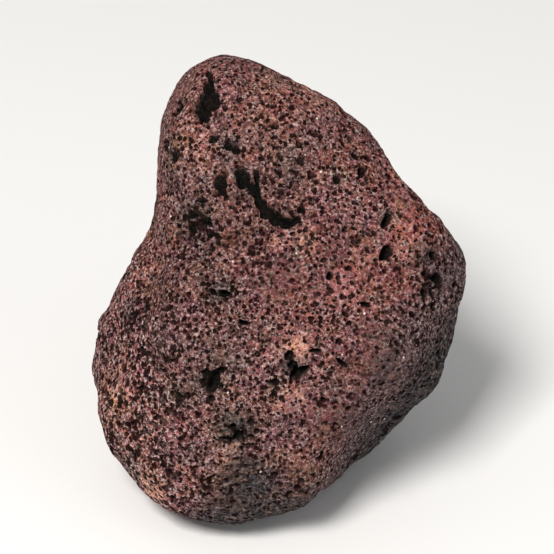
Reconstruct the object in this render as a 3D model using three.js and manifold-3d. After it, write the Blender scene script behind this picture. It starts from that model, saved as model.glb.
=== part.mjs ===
// A piece of lava rock: one lump of red-brown scoria, the frothy stone that a volcano throws out.
// It is about 84 mm wide and stands on a rough foot, with one broad face leaning back and open bubbles,
// called vesicles, pitting the surface. Lengths are in millimetres and +Z is up.
import * as THREE from "three";
import { mergeVertices } from "three/addons/utils/BufferGeometryUtils.js";
import Module from "manifold-3d";

const wasm = await Module();
wasm.setup();

// ---- Driving dimensions ----
// The broad face has axes of its own: "across" is +X, "up" runs up the leaning face, "out" is its normal.
const FACE_LEAN = 35; // degrees that the face's normal points above the horizon
const CENTRE_HEIGHT = 42; // of the stone's middle above the ground
const FRONT_BULGE = 31; // from the middle out to the broad face
const BACK_BULGE = 46; // from the middle to the back
const ROUNDNESS = 2.7; // 2 gives an ellipsoid, more gives a flatter face with a tighter edge
const EDGE_SHARPNESS = 11; // of the edges where the flat facets meet the rest

// The outline of the broad face, anticlockwise from the right: places across and up it from the middle.
const OUTLINE = [
  { name: "right shoulder", across: 42, up: 5 },
  { name: "upper right corner", across: 40.5, up: 12.5 },
  { name: "upper right", across: 32, up: 21.5 },
  { name: "top right", across: 14.5, up: 44 },
  { name: "right of the peak", across: -4.5, up: 52.5 },
  { name: "peak", across: -16.5, up: 56 },
  { name: "corner of the peak", across: -24.5, up: 45.5 },
  { name: "upper left", across: -27, up: 33 },
  { name: "waist", across: -28.5, up: 17 },
  { name: "below the waist", across: -38, up: 1.5 },
  { name: "left bulge", across: -45, up: -9.5 },
  { name: "lower left", across: -36.5, up: -33 },
  { name: "left of the foot", across: -25.5, up: -47 },
  { name: "foot", across: -11, up: -48.5 },
  { name: "right of the foot", across: 7.5, up: -46 },
  { name: "lower right", across: 24, up: -29.5 },
  { name: "right", across: 36.5, up: -18 },
];
const OUTLINE_SAMPLES = 360;

// Flat broken facets: the normal's angle round the face, its tilt out of the face, and the distance out.
const FACETS = [
  { name: "foot", around: -90, tilt: -FACE_LEAN, distance: 46 },
  { name: "broad face", around: 200, tilt: 84, distance: 29.5 },
  { name: "upper face", around: 40, tilt: 72, distance: 31 },
  { name: "lower face", around: 250, tilt: 66, distance: 34.5 },
  { name: "right undercut", around: -42, tilt: 21, distance: 39.6 },
  { name: "left flank", around: 178, tilt: 34, distance: 35.5 },
  { name: "back top", around: 72, tilt: -38, distance: 42 },
  { name: "back left", around: 165, tilt: -36, distance: 38 },
  { name: "back right", around: 12, tilt: -42, distance: 39 },
  { name: "back", around: 70, tilt: -74, distance: 41 },
  { name: "lower back", around: -70, tilt: -72, distance: 48 },
];

// Swellings (+) and hollows (-) of the broad face: place across and up it, spread, and height.
const SWELLINGS = [
  { across: 14, up: 25, wide: 17, tall: 17, height: 2.6 },
  { across: -14, up: -24, wide: 18, tall: 16, height: 2.4 },
  { across: -9, up: 20, wide: 8, tall: 13, height: -3.2 },
  { across: 0, up: -5, wide: 20, tall: 7, height: -1.4 },
  { across: -18, up: 16, wide: 6, tall: 6, height: -1.6 },
  { across: -21, up: 35, wide: 6, tall: 9, height: 1.6 },
  { across: -4, up: -42, wide: 10, tall: 6, height: -1.2 },
];

// Hollows of the foot, which leave it standing on an uneven ring: place from the middle, spread, and depth.
const FOOT_HOLLOWS = [
  { x: -6, y: -3, spread: 11, depth: 5.2 },
  { x: -23, y: -4, spread: 6, depth: 4 },
  { x: 6, y: -22, spread: 6, depth: 4 },
  { x: 2, y: 16, spread: 6, depth: 4 },
];

// Broad unevenness all over: sine waves of these lengths, from every side.
const WAVE_COUNT = 16;
const LONGEST_WAVE = 48;
const SHORTEST_WAVE = 13;
const WAVE_STEEPNESS = 0.0125; // height of each wave as a share of its length

// The largest vesicles of the broad face: place on it, size across and up it, turn in it, and depth.
const FACE_VESICLES = [
  { across: -16.1, up: 42.3, wide: 4.4, tall: 9.4, turn: 4, deep: 6 },
  { across: -9.2, up: 25.6, wide: 4.6, tall: 5, turn: 0, deep: 5 },
  { across: -5.6, up: 21.2, wide: 3.8, tall: 7.6, turn: 32, deep: 5 },
  { across: -1.2, up: 15.6, wide: 7.8, tall: 4, turn: -24, deep: 5 },
  { across: -13.8, up: 23.5, wide: 4, tall: 4.4, turn: 20, deep: 4 },
  { across: -10.4, up: 31.6, wide: 4.4, tall: 2.8, turn: -10, deep: 3 },
  { across: 23.3, up: 9.3, wide: 3, tall: 5.6, turn: -22, deep: 4 },
  { across: 23, up: 16.4, wide: 2.6, tall: 4.6, turn: -8, deep: 3.4 },
  { across: 4.8, up: -17.6, wide: 6.4, tall: 3.6, turn: 38, deep: 4 },
  { across: -15.2, up: -20.2, wide: 4, tall: 6.8, turn: -14, deep: 4 },
  { across: -10.6, up: -31.4, wide: 8, tall: 2.8, turn: 4, deep: 4 },
  { across: -24.6, up: 38.6, wide: 3, tall: 3, turn: 0, deep: 3 },
];
// More of them, spread over the sides and the back.
const SIDE_VESICLES = 34; // places tried; those on the broad face or the foot are left out
const SIDE_VESICLE_SMALLEST = 3;
const SIDE_VESICLE_LARGEST = 8;
const ROCK_DETAIL = 14; // subdivisions of each icosahedron edge
const VESICLE_DETAIL = 1;

const radians = THREE.MathUtils.degToRad;
const lean = radians(FACE_LEAN);
const across = new THREE.Vector3(1, 0, 0);
const up = new THREE.Vector3(0, Math.sin(lean), Math.cos(lean));
const out = new THREE.Vector3(0, -Math.cos(lean), Math.sin(lean));

// A direction given by its angle round the face and its tilt out of the face.
function direction(around, tilt) {
  const [a, t] = [radians(around), radians(tilt)];
  return new THREE.Vector3()
    .addScaledVector(across, Math.cos(t) * Math.cos(a))
    .addScaledVector(up, Math.cos(t) * Math.sin(a))
    .addScaledVector(out, Math.sin(t));
}

// The outline as a smooth closed curve, sampled as angles round the face with their radii.
const outlineCurve = new THREE.CatmullRomCurve3(
  OUTLINE.map((p) => new THREE.Vector3(p.across, p.up, 0)),
  true,
  "catmullrom",
);
const outline = outlineCurve
  .getSpacedPoints(OUTLINE_SAMPLES)
  .map((p) => ({ angle: Math.atan2(p.y, p.x), radius: Math.hypot(p.x, p.y) }))
  .sort((p, q) => p.angle - q.angle);

// The outline's radius at an angle round the face.
function outlineRadius(angle) {
  const next = outline.findIndex((p) => p.angle > angle);
  const after = outline[Math.max(next, 0)];
  const before = outline.at(next <= 0 ? -1 : next - 1);
  const gap = THREE.MathUtils.euclideanModulo(after.angle - before.angle, 2 * Math.PI);
  const part = THREE.MathUtils.euclideanModulo(angle - before.angle, 2 * Math.PI);
  return THREE.MathUtils.lerp(before.radius, after.radius, gap > 0 ? Math.min(1, part / gap) : 0);
}

const facetNormals = FACETS.map((f) => direction(f.around, f.tilt));

// Distance from the middle to the smooth lump along a unit direction: a rounded slab with this outline,
// its edges softened into the flat facets.
function lumpRadius(d) {
  const [a, b, c] = [d.dot(across), d.dot(up), d.dot(out)];
  const rim = Math.hypot(a, b) / outlineRadius(Math.atan2(b, a));
  const bulge = Math.abs(c) / (c > 0 ? FRONT_BULGE : BACK_BULGE);
  const slab = (rim ** ROUNDNESS + bulge ** ROUNDNESS) ** (1 / ROUNDNESS);
  const cuts = facetNormals.reduce(
    (sum, n, i) => sum + Math.max(0, d.dot(n) / FACETS[i].distance) ** EDGE_SHARPNESS,
    slab ** EDGE_SHARPNESS,
  );
  return cuts ** (-1 / EDGE_SHARPNESS);
}

// Height of the swellings and hollows at a point of the broad face.
function swelling(point) {
  const [a, b, c] = [point.dot(across), point.dot(up), point.dot(out)];
  const onFace = THREE.MathUtils.smoothstep(c, 0, FRONT_BULGE / 2);
  return SWELLINGS.reduce((sum, s) => {
    const x = (a - s.across) / s.wide;
    const y = (b - s.up) / s.tall;
    return sum + onFace * s.height * Math.exp(-(x * x + y * y));
  }, 0);
}

// Depth of the hollows of the foot at a point of the underside.
function footHollow(point) {
  if (point.z > 0) return 0;
  return FOOT_HOLLOWS.reduce((sum, h) => {
    const [x, y] = [(point.x - h.x) / h.spread, (point.y - h.y) / h.spread];
    return sum + h.depth * Math.exp(-(x * x + y * y));
  }, 0);
}

// Broad unevenness: waves spread over the sphere by the golden angle, each shorter than the last.
const goldenAngle = Math.PI * (3 - Math.sqrt(5));
const waves = Array.from({ length: WAVE_COUNT }, (_, i) => {
  const share = (i + 0.5) / WAVE_COUNT;
  const z = 1 - 2 * share;
  const flat = Math.sqrt(1 - z * z);
  const turn = i * goldenAngle;
  const length = LONGEST_WAVE * (SHORTEST_WAVE / LONGEST_WAVE) ** share;
  const along = new THREE.Vector3(flat * Math.cos(turn), flat * Math.sin(turn), z);
  return { along: along.multiplyScalar((2 * Math.PI) / length), shift: i * i, height: length * WAVE_STEEPNESS };
});
function unevenness(point) {
  return waves.reduce((sum, w) => sum + w.height * Math.sin(point.dot(w.along) + w.shift), 0);
}

// The stone's surface along a unit direction, cut level where it meets the ground.
function rockPoint(d) {
  const lump = d.clone().multiplyScalar(lumpRadius(d));
  const radius = lump.length() + swelling(lump) + unevenness(lump) - footHollow(lump);
  const toGround = d.z < 0 ? CENTRE_HEIGHT / -d.z : Infinity;
  return d.clone().multiplyScalar(Math.min(radius, toGround));
}

function rockGeometry() {
  const geometry = new THREE.IcosahedronGeometry(1, ROCK_DETAIL);
  const places = geometry.getAttribute("position");
  for (let i = 0; i < places.count; i++) {
    const point = rockPoint(new THREE.Vector3().fromBufferAttribute(places, i).normalize());
    places.setXYZ(i, point.x, point.y, point.z);
  }
  return geometry;
}

// The point of the broad face at this place across and up it, found by closing in on its distance out.
function facePoint(acrossFace, upFace) {
  let height = FRONT_BULGE;
  const point = new THREE.Vector3();
  for (let i = 0; i < 30; i++) {
    const d = new THREE.Vector3()
      .addScaledVector(across, acrossFace)
      .addScaledVector(up, upFace)
      .addScaledVector(out, height)
      .normalize();
    point.copy(rockPoint(d));
    height += (Math.hypot(point.dot(across), point.dot(up)) - Math.hypot(acrossFace, upFace)) * 0.8;
    height = Math.max(height, 1);
  }
  return point;
}

// One vesicle: a ball stretched to its width, height and depth, centred on the surface at a point.
function vesicleGeometry(v, point, x, y, z) {
  const geometry = new THREE.IcosahedronGeometry(1, VESICLE_DETAIL);
  geometry.scale(v.wide / 2, v.tall / 2, v.deep);
  geometry.rotateZ(radians(v.turn));
  const turned = new THREE.Matrix4().makeBasis(x, y, z);
  turned.setPosition(point);
  return geometry.applyMatrix4(turned);
}

function faceVesicles() {
  return FACE_VESICLES.map((v) => vesicleGeometry(v, facePoint(v.across, v.up), across, up, out));
}

// The vesicles of the sides and the back, at points spread evenly by the golden angle.
function sideVesicles() {
  const found = [];
  for (let i = 0; i < SIDE_VESICLES; i++) {
    const height = 1 - (2 * (i + 0.5)) / SIDE_VESICLES;
    const flat = Math.sqrt(1 - height * height);
    const z = new THREE.Vector3(flat * Math.cos(i * goldenAngle), flat * Math.sin(i * goldenAngle), height);
    if (z.dot(out) > 0.35 || z.z < -0.55) continue;
    const x = new THREE.Vector3().crossVectors(up, z).normalize();
    const y = new THREE.Vector3().crossVectors(z, x);
    const share = ((i * 7) % 11) / 10;
    const wide = THREE.MathUtils.lerp(SIDE_VESICLE_SMALLEST, SIDE_VESICLE_LARGEST, share * share);
    const v = { wide, tall: wide * (0.6 + 0.1 * (i % 5)), turn: i * 40, deep: 2 + wide / 3 };
    found.push(vesicleGeometry(v, rockPoint(z), x, y, z));
  }
  return found;
}

function solidOf(geometry) {
  const bare = geometry.clone();
  bare.deleteAttribute("normal");
  bare.deleteAttribute("uv");
  const merged = mergeVertices(bare, 1e-3);
  return new wasm.Manifold(
    new wasm.Mesh({
      numProp: 3,
      vertProperties: merged.getAttribute("position").array,
      triVerts: new Uint32Array(merged.index.array),
    }),
  );
}

function geometryOf(solid) {
  const mesh = solid.getMesh();
  const geometry = new THREE.BufferGeometry();
  geometry.setAttribute("position", new THREE.BufferAttribute(new Float32Array(mesh.vertProperties), 3));
  geometry.setIndex(new THREE.BufferAttribute(new Uint32Array(mesh.triVerts), 1));
  geometry.computeVertexNormals();
  return geometry;
}

// The stone, with its vesicles opened, standing on the ground with its middle over the origin.
function makeRock() {
  let solid = solidOf(rockGeometry());
  for (const vesicle of [...faceVesicles(), ...sideVesicles()]) solid = solid.subtract(solidOf(vesicle));
  const geometry = geometryOf(solid);
  geometry.computeBoundingBox();
  const box = geometry.boundingBox;
  const middle = box.getCenter(new THREE.Vector3());
  const scoria = new THREE.MeshStandardMaterial({ color: 0x664743, roughness: 0.95, metalness: 0 });
  const rock = new THREE.Mesh(geometry, scoria);
  rock.name = "rock";
  rock.position.set(-middle.x, -middle.y, -box.min.z);
  return rock;
}

const lavaRock = new THREE.Group();
lavaRock.name = "lava_rock";
lavaRock.add(makeRock());

export default lavaRock;
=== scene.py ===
"""Lava rock: one lump of mauve-brown scoria full of broken bubbles, and its stage."""

import itertools
import math

import bpy
import numpy as np
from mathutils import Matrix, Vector


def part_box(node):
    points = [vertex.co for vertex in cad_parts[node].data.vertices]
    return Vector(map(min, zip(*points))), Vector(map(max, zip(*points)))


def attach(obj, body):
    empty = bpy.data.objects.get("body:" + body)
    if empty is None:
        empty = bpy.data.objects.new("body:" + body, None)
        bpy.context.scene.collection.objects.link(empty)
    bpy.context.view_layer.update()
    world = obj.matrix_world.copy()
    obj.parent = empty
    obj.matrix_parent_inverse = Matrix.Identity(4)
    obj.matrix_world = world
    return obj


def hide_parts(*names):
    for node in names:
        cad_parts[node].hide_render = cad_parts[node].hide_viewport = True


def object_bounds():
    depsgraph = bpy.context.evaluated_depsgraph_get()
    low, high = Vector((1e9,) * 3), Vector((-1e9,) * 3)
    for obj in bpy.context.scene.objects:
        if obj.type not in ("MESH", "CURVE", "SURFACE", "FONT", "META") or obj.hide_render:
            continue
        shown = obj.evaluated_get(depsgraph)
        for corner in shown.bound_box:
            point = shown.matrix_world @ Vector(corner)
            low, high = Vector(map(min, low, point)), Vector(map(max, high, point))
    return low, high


bl_info = {
    "name": "Lava Rock",
    "version": (1, 0, 0),
    "blender": (4, 5, 0),
    "location": "3D View > Sidebar > Lava Rock",
    "description": "Builds a lump of scoria full of broken bubbles, and the stage that it stands on",
    "category": "Add Mesh",
}

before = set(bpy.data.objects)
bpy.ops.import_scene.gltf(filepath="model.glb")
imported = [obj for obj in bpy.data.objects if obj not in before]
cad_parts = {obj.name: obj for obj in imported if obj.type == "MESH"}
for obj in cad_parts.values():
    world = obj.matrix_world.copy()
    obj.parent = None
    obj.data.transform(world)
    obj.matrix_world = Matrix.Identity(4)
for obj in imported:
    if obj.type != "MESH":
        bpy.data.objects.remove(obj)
CAD_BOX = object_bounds()

# The stone is worked out in millimetres from its middle, and becomes metres when its mesh is made.
MM = 0.001
CENTRE_HEIGHT = 42.0
FACE_LEAN = math.radians(35.0)
ACROSS = np.array((1.0, 0.0, 0.0))
UP = np.array((0.0, math.sin(FACE_LEAN), math.cos(FACE_LEAN)))
OUT = np.array((0.0, -math.cos(FACE_LEAN), math.sin(FACE_LEAN)))
# How far the lump bulges in front and behind, and the powers that shape its rim and its facets' edges:
# the higher, the sharper.
FRONT_BULGE = 31.0
BACK_BULGE = 46.0
ROUNDNESS = 2.7
EDGE_SHARPNESS = 11

# The outline of the broad face, anticlockwise from its right shoulder: places across and up it.
OUTLINE = (
    (42, 5),
    (40.5, 12.5),
    (32, 21.5),
    (14.5, 44),
    (-4.5, 52.5),
    (-16.5, 56),
    (-24.5, 45.5),
    (-27, 33),
    (-28.5, 17),
    (-38, 1.5),
    (-45, -9.5),
    (-36.5, -33),
    (-25.5, -47),
    (-11, -48.5),
    (7.5, -46),
    (24, -29.5),
    (36.5, -18),
)
OUTLINE_STEPS = 24  # between two places of the outline

# Flat broken facets: the normal's angle round the broad face, its tilt out of it, and the distance out.
FACETS = (
    (-90, -35, 46),
    (200, 84, 29.5),
    (40, 72, 31),
    (250, 66, 34.5),
    (-42, 21, 39.6),
    (178, 34, 35.5),
    (72, -38, 42),
    (165, -36, 38),
    (12, -42, 39),
    (70, -74, 41),
    (-70, -72, 48),
)

# Swellings and hollows of the broad face: across, up, width, height up the face, and how far out.
SWELLINGS = (
    (14, 25, 17, 17, 2.6),
    (-14, -24, 18, 16, 2.4),
    (-9, 20, 8, 13, -3.2),
    (0, -5, 20, 7, -1.4),
    (-18, 16, 6, 6, -1.6),
    (-21, 35, 6, 9, 1.6),
    (-4, -42, 10, 6, -1.2),
)
# Hollows of the foot: x, y, spread and depth.
FOOT_HOLLOWS = (
    (-6, -3, 11, 5.2),
    (-23, -4, 6, 4),
    (6, -22, 6, 4),
    (2, 16, 6, 4),
)
# Sine waves over the whole lump: how many, their lengths, and their height as a share of the length.
WAVE_COUNT = 16
LONGEST_WAVE = 48.0
SHORTEST_WAVE = 13.0
WAVE_STEEPNESS = 0.0125
GOLDEN_ANGLE = math.pi * (3 - math.sqrt(5))

# Rough rock between the bubbles, and the grit over everything: the size of each layer's lumps, their
# height, and a seed.
ROUGHNESS = (
    (9.0, 0.55, 11),
    (4.3, 0.42, 12),
    (2.1, 0.26, 13),
)
GRIT = (
    (0.95, 0.10, 14),
    (0.5, 0.055, 15),
)

# Bubbles scattered over the stone, from the largest kind to the smallest: spacing, smallest and largest
# radius, the share kept on the broad face and elsewhere, stretch, patch size, how ragged, and a seed.
BUBBLE_KINDS = (
    (11.0, 1.5, 2.7, 0.0, 0.45, 0.35, 20, 0.9, 101),
    (4.6, 0.75, 1.5, 0.05, 0.5, 0.35, 14, 0.7, 102),
    (1.9, 0.38, 0.66, 0.72, 0.72, 0.25, 9, 0.4, 103),
    (1.4, 0.26, 0.40, 0.3, 0.3, 0.2, 7, 0.3, 104),
)
RAGGED_NAMED = 0.7  # how ragged the bubbles of the next two tables are
LATTICE_REACH = 62.0  # the scattered bubbles' lattice runs this far each way from the middle
SURFACE_REACH = (24.0, 64.0)  # the nearest and the farthest that the surface can lie from the middle
FACING_FADE = 0.1  # the cosines over which the broad face gives way to the other sides, each way
PATCH_GROWTH = 0.35  # how much a patch makes its bubbles grow or shrink
SMALL_FAVOUR = 1.8  # above 1, small bubbles are commoner
SCATTERED_SINK = (0.05, 0.6)  # the smallest and largest share of its radius that a bubble sinks by
# Nests of small bubbles on the broad face: across, up, spread and how many.
BUBBLE_NESTS = (
    (-18.5, 15.5, 3.2, 36),
    (-23.5, 32, 2.5, 12),
    (-22.5, -22.5, 4.0, 26),
    (-25.5, -14, 3.0, 16),
    (-32.5, -6, 3.0, 16),
    (-12, 0, 3.0, 12),
    (33, 3, 3.0, 16),
    (-9, -31, 4.0, 16),
    (-2, -19, 4.0, 12),
    (-35, -14, 5.0, 30),
    (-34, -27, 5.0, 30),
    (-28, -38, 5.0, 30),
    (-18, -44, 5.0, 24),
    (-26, -4, 5.0, 20),
)
NEST_RADII = (0.4, 0.85)
NEST_SINK = (0.0, 0.5)
NEST_WIDTH = 0.6  # of the bell curve, as a share of the nest's spread
NEST_SEED = 77
# Ragged edges: size and strength of the shaking of the surface when bubbles are cut.
SHAKES = ((2.6, 0.55, 31), (1.1, 0.34, 41), (0.6, 0.12, 51))

# The middle of the broad face, from which its marks are counted: across and up from the stone's middle.
FACE_MIDDLE = (0.6, 1.9)
FACE_ROUNDS = 40  # how often a place on the broad face is closed in on
FACE_STEP = 0.8  # the share of what is left over that each round takes away
NAMED_SINK = 0.12  # the share of its depth that a bubble's middle lies below the surface
# The broken bubbles that stand out on the broad face: across, up, width, height, turn and depth.
FACE_BUBBLES = (
    (-15.8, 48.6, 1.8, 2.8, 0, 2.2),
    (-15.8, 46.6, 2.8, 4.4, 4, 3.4),
    (-15.9, 43.4, 5.4, 5.0, 0, 4.4),
    (-16.2, 41.2, 5.8, 3.8, -8, 4.4),
    (-16.7, 38.9, 2.6, 3.0, 0, 2.6),
    (-12.4, 40.6, 1.4, 1.8, 0, 1.4),
    (-22.6, 41.4, 3.4, 6.5, 0, 3.4),
    (-24.8, 33.2, 2.6, 2.8, 20, 2.2),
    (-23.4, 30.4, 2.2, 3.2, 0, 2.0),
    (-11.6, 32.4, 2.4, 1.5, -24, 1.6),
    (-9.7, 31.5, 2.0, 2.0, 20, 1.8),
    (-8.6, 26.1, 3.8, 3.4, 0, 3.4),
    (-8.5, 24.6, 3.6, 3.0, 0, 3.2),
    (-5.3, 25.6, 1.3, 3.2, 6, 2.0),
    (-6.4, 23.5, 2.4, 2.0, -30, 2.4),
    (-5.3, 22.4, 2.4, 3.4, 10, 2.8),
    (-4.5, 20.0, 2.5, 3.2, 14, 3.0),
    (-3.1, 18.0, 3.4, 3.0, -20, 3.2),
    (-0.8, 16.6, 3.8, 3.2, -28, 3.4),
    (1.6, 15.8, 3.6, 3.2, -12, 3.2),
    (3.4, 16.4, 2.6, 2.4, 30, 2.4),
    (4.4, 18.4, 2.0, 2.2, 10, 1.8),
    (-13.3, 24.2, 3.0, 2.6, 20, 2.8),
    (-12.8, 22.6, 1.8, 2.2, 0, 2.2),
    (-17.2, 20.8, 2.0, 1.8, 0, 1.8),
    (-19.6, 17.6, 2.4, 2.0, 10, 2.0),
    (-16.4, 16.4, 2.6, 2.0, -20, 2.2),
    (-19.8, 14.6, 1.8, 2.2, 0, 1.8),
    (-15.2, 13.2, 2.2, 1.5, -20, 1.8),
    (-12.3, 0.0, 2.6, 2.0, 15, 2.4),
    (-14.8, 0.4, 1.6, 1.4, 0, 1.6),
    (-8.5, -6.0, 2.8, 1.5, -15, 2.2),
    (12.3, 25.0, 1.8, 2.2, -10, 2.2),
    (17.8, 26.7, 1.9, 3.0, -8, 2.8),
    (23.4, 16.4, 2.0, 4.0, -8, 3.0),
    (23.3, 9.2, 2.6, 4.6, -22, 3.8),
    (10.6, 4.1, 1.8, 1.8, 0, 2.0),
    (33.6, 8.4, 2.4, 2.6, 15, 1.8),
    (34.6, 3.0, 3.0, 3.6, 0, 2.2),
    (31.6, 0.2, 2.2, 2.2, 0, 1.6),
    (4.2, -17.2, 5.2, 3.0, 42, 3.8),
    (2.7, -15.4, 2.4, 1.8, 30, 1.6),
    (1.9, -13.6, 2.2, 1.7, 30, 2.0),
    (-1.5, -19.4, 2.2, 2.0, 0, 1.4),
    (13.3, -15.1, 4.2, 1.2, -38, 2.0),
    (7.8, -12.3, 3.0, 1.2, -20, 1.8),
    (-14.8, -19.4, 3.2, 6.4, -16, 2.8),
    (-16.1, -17.6, 2.8, 2.6, 0, 1.8),
    (-13.2, -16.8, 2.0, 1.8, 0, 1.6),
    (-16.9, -19.4, 1.7, 2.0, 0, 1.2),
    (-13.0, -20.0, 1.5, 1.7, 0, 1.2),
    (-15.0, -23.0, 1.8, 1.8, 0, 1.4),
    (-22.5, -22.7, 2.8, 2.4, 0, 2.0),
    (-25.5, -14.2, 2.8, 2.4, 20, 1.8),
    (-32.8, -5.4, 2.8, 2.2, -20, 1.8),
    (-30.6, -13.0, 2.4, 2.0, 0, 1.6),
    (-11.2, -32.1, 5.8, 1.9, 2, 3.0),
    (-9.2, -31.1, 2.4, 2.2, 0, 2.2),
    (-6.7, -33.1, 3.8, 1.2, -8, 1.6),
    (-10.7, -29.0, 1.8, 1.6, 0, 1.6),
    (-9.6, -42.4, 2.2, 1.6, 8, 0.9),
    (-1.2, -39.6, 2.0, 1.4, 20, 0.9),
    (3.4, -42.8, 1.7, 1.5, 0, 1.3),
    (9.2, -35.8, 1.5, 2.6, -20, 1.7),
    (9.2, -23.2, 1.5, 1.5, 0, 1.5),
    (18.6, -2.2, 3.2, 1.3, -8, 1.8),
    (13.6, 33.0, 1.5, 1.5, 0, 1.6),
    (19.5, 29.6, 1.5, 2.2, 10, 1.8),
    (-30.0, -30.0, 2.0, 2.0, 0, 1.6),
    (-33.0, -36.0, 2.6, 2.0, -30, 1.8),
    (-25.0, -40.0, 2.0, 1.8, 0, 1.6),
)


def broad_face_direction(around, tilt):
    """The unit vector at an angle round the broad face, tilted out of it, both in degrees."""
    around, tilt = math.radians(around), math.radians(tilt)
    flat = math.cos(tilt)
    return flat * math.cos(around) * ACROSS + flat * math.sin(around) * UP + math.sin(tilt) * OUT


def unit(vectors):
    """Each vector divided by its own length."""
    return vectors / np.linalg.norm(vectors, axis=-1, keepdims=True)


def closed_curve(places, steps):
    """A Catmull-Rom curve: between two places, the cubic whose slope at each is half the way between
    the places on either side of it."""
    places = np.asarray(places, float)
    before, after, last = (np.roll(places, shift, axis=0) for shift in (1, -1, -2))
    t = np.arange(steps)[:, None, None] / steps
    start_slope = (after - before) / 2
    end_slope = (last - places) / 2
    points = (
        places * (2 * t**3 - 3 * t**2 + 1)
        + start_slope * (t**3 - 2 * t**2 + t)
        + after * (3 * t**2 - 2 * t**3)
        + end_slope * (t**3 - t**2)
    )
    return points.transpose(1, 0, 2).reshape(-1, 2)


OUTLINE_CURVE = closed_curve(OUTLINE, OUTLINE_STEPS)
OUTLINE_ANGLES = np.arctan2(OUTLINE_CURVE[:, 1], OUTLINE_CURVE[:, 0])
OUTLINE_RADII = np.hypot(OUTLINE_CURVE[:, 0], OUTLINE_CURVE[:, 1])


def lump_radius(directions):
    """Distance from the middle to the smooth lump along each direction. With the direction split into
    its share in the broad face and its share out of it, the gauge is the power mean of the first over
    the outline's radius and the second over the bulge; the facets join it in a sharper power mean."""
    across, up, out = directions @ ACROSS, directions @ UP, directions @ OUT
    outline = np.interp(np.arctan2(up, across), OUTLINE_ANGLES, OUTLINE_RADII, period=2 * math.pi)
    rim = np.hypot(across, up) / outline
    bulge = np.abs(out) / np.where(out > 0, FRONT_BULGE, BACK_BULGE)
    slab = (rim**ROUNDNESS + bulge**ROUNDNESS) ** (1 / ROUNDNESS)
    gauge = slab**EDGE_SHARPNESS
    for around, tilt, distance in FACETS:
        share = directions @ broad_face_direction(around, tilt) / distance
        gauge += np.maximum(share, 0) ** EDGE_SHARPNESS
    return gauge ** (-1 / EDGE_SHARPNESS)


def swelling(points):
    """The sum of bell-shaped swellings and hollows, faded out away from the broad face."""
    across, up, out = points @ ACROSS, points @ UP, points @ OUT
    t = np.clip(out / (FRONT_BULGE / 2), 0, 1)
    total = np.zeros(len(points))
    for at_across, at_up, wide, tall, height in SWELLINGS:
        total += height * np.exp(-(((across - at_across) / wide) ** 2) - ((up - at_up) / tall) ** 2)
    return total * t * t * (3 - 2 * t)


def foot_hollow(points):
    """The sum of bell-shaped hollows in the underside."""
    total = np.zeros(len(points))
    for x, y, spread, depth in FOOT_HOLLOWS:
        reach = (points[:, 0] - x) ** 2 + (points[:, 1] - y) ** 2
        total += depth * np.exp(-reach / spread**2)
    return np.where(points[:, 2] > 0, 0, total)


def unevenness(points):
    """Sine waves from every side: their directions spread over the sphere by the golden angle, and each
    is shorter than the last and lower in proportion."""
    total = np.zeros(len(points))
    for i in range(WAVE_COUNT):
        share = (i + 0.5) / WAVE_COUNT
        height = 1 - 2 * share
        flat = math.sqrt(1 - height * height)
        along = np.array((flat * math.cos(i * GOLDEN_ANGLE), flat * math.sin(i * GOLDEN_ANGLE), height))
        length = LONGEST_WAVE * (SHORTEST_WAVE / LONGEST_WAVE) ** share
        total += length * WAVE_STEEPNESS * np.sin(points @ along * (2 * math.pi / length) + i * i)
    return total


# Zones of colour on the broad face: across, up, reach and strength.
RUST_SPOTS = (
    (30, 16, 12, 1.1),
    (25, 1, 11, 0.55),
    (17, 5, 9, 0.5),
    (24, 24, 9, 0.6),
    (0, 42, 9, 0.95),
    (-10, 11, 8, 0.65),
    (-30, 3, 10, 0.6),
    (-4, -13, 7, 0.5),
    (-41, -29, 8, 1.1),
    (17, -37, 5, 0.4),
    (-22, 44, 6, 0.8),
    (-9, 37, 7, 0.9),
    (-6, 32, 8, 0.6),
    (-17, 29, 8, 0.6),
    (9, 29, 8, 0.65),
    (20, 21, 6, 0.5),
    (-13, -15, 7, 0.5),
)
PEACH_SPOTS = (
    (-19, 32, 9, 1.3),
    (-1, 45, 7, 0.9),
    (4, 11.5, 5, 1.0),
    (3.5, -11.5, 5, 1.3),
    (-37, -22, 12, 1.1),
    (-29, -44, 8, 1.3),
    (-4, 38, 8, 0.7),
    (8, 43, 8, 0.8),
    (-12, -36, 4, 1.0),
    (26, 20, 6, 0.8),
)
GREY_SPOTS = (
    (-7, -44, 16, 0.9),
    (-24, -28, 12, 0.3),
    (-34, -40, 7, 1.0),
    (14, -28, 7, 1.0),
    (-16, -34, 5, 0.5),
    (-16, 11, 10, 0.6),
    (-27, -10, 10, 0.7),
    (12, -20, 9, 0.6),
    (9, -43, 11, 1.0),
    (-5, 26, 5, 0.8),
    (2, -46, 11, 1.0),
    (-14, -48, 11, 0.9),
)
OLIVE_SPOTS = (
    (-19, 16.5, 7, 0.8),
    (-24, 31.5, 5, 0.8),
    (-11, 32, 5, 0.8),
    (2, 30, 6, 0.5),
    (11.8, 26, 4, 0.7),
    (23, 17, 4, 0.7),
    (-12.5, 0.5, 5, 0.7),
    (-23.3, -22, 7, 0.8),
    (-15, -20, 6, 0.8),
    (-1.4, -20.5, 3.5, 0.8),
    (2.4, -15.8, 3.5, 0.8),
    (-10.5, -31, 7, 0.8),
    (-33, -40, 9, 0.65),
    (-7, -42, 10, 0.5),
    (5.5, -38.6, 5, 0.6),
    (8, -43, 7, 0.4),
    (4, -47, 7, 0.5),
)
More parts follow.
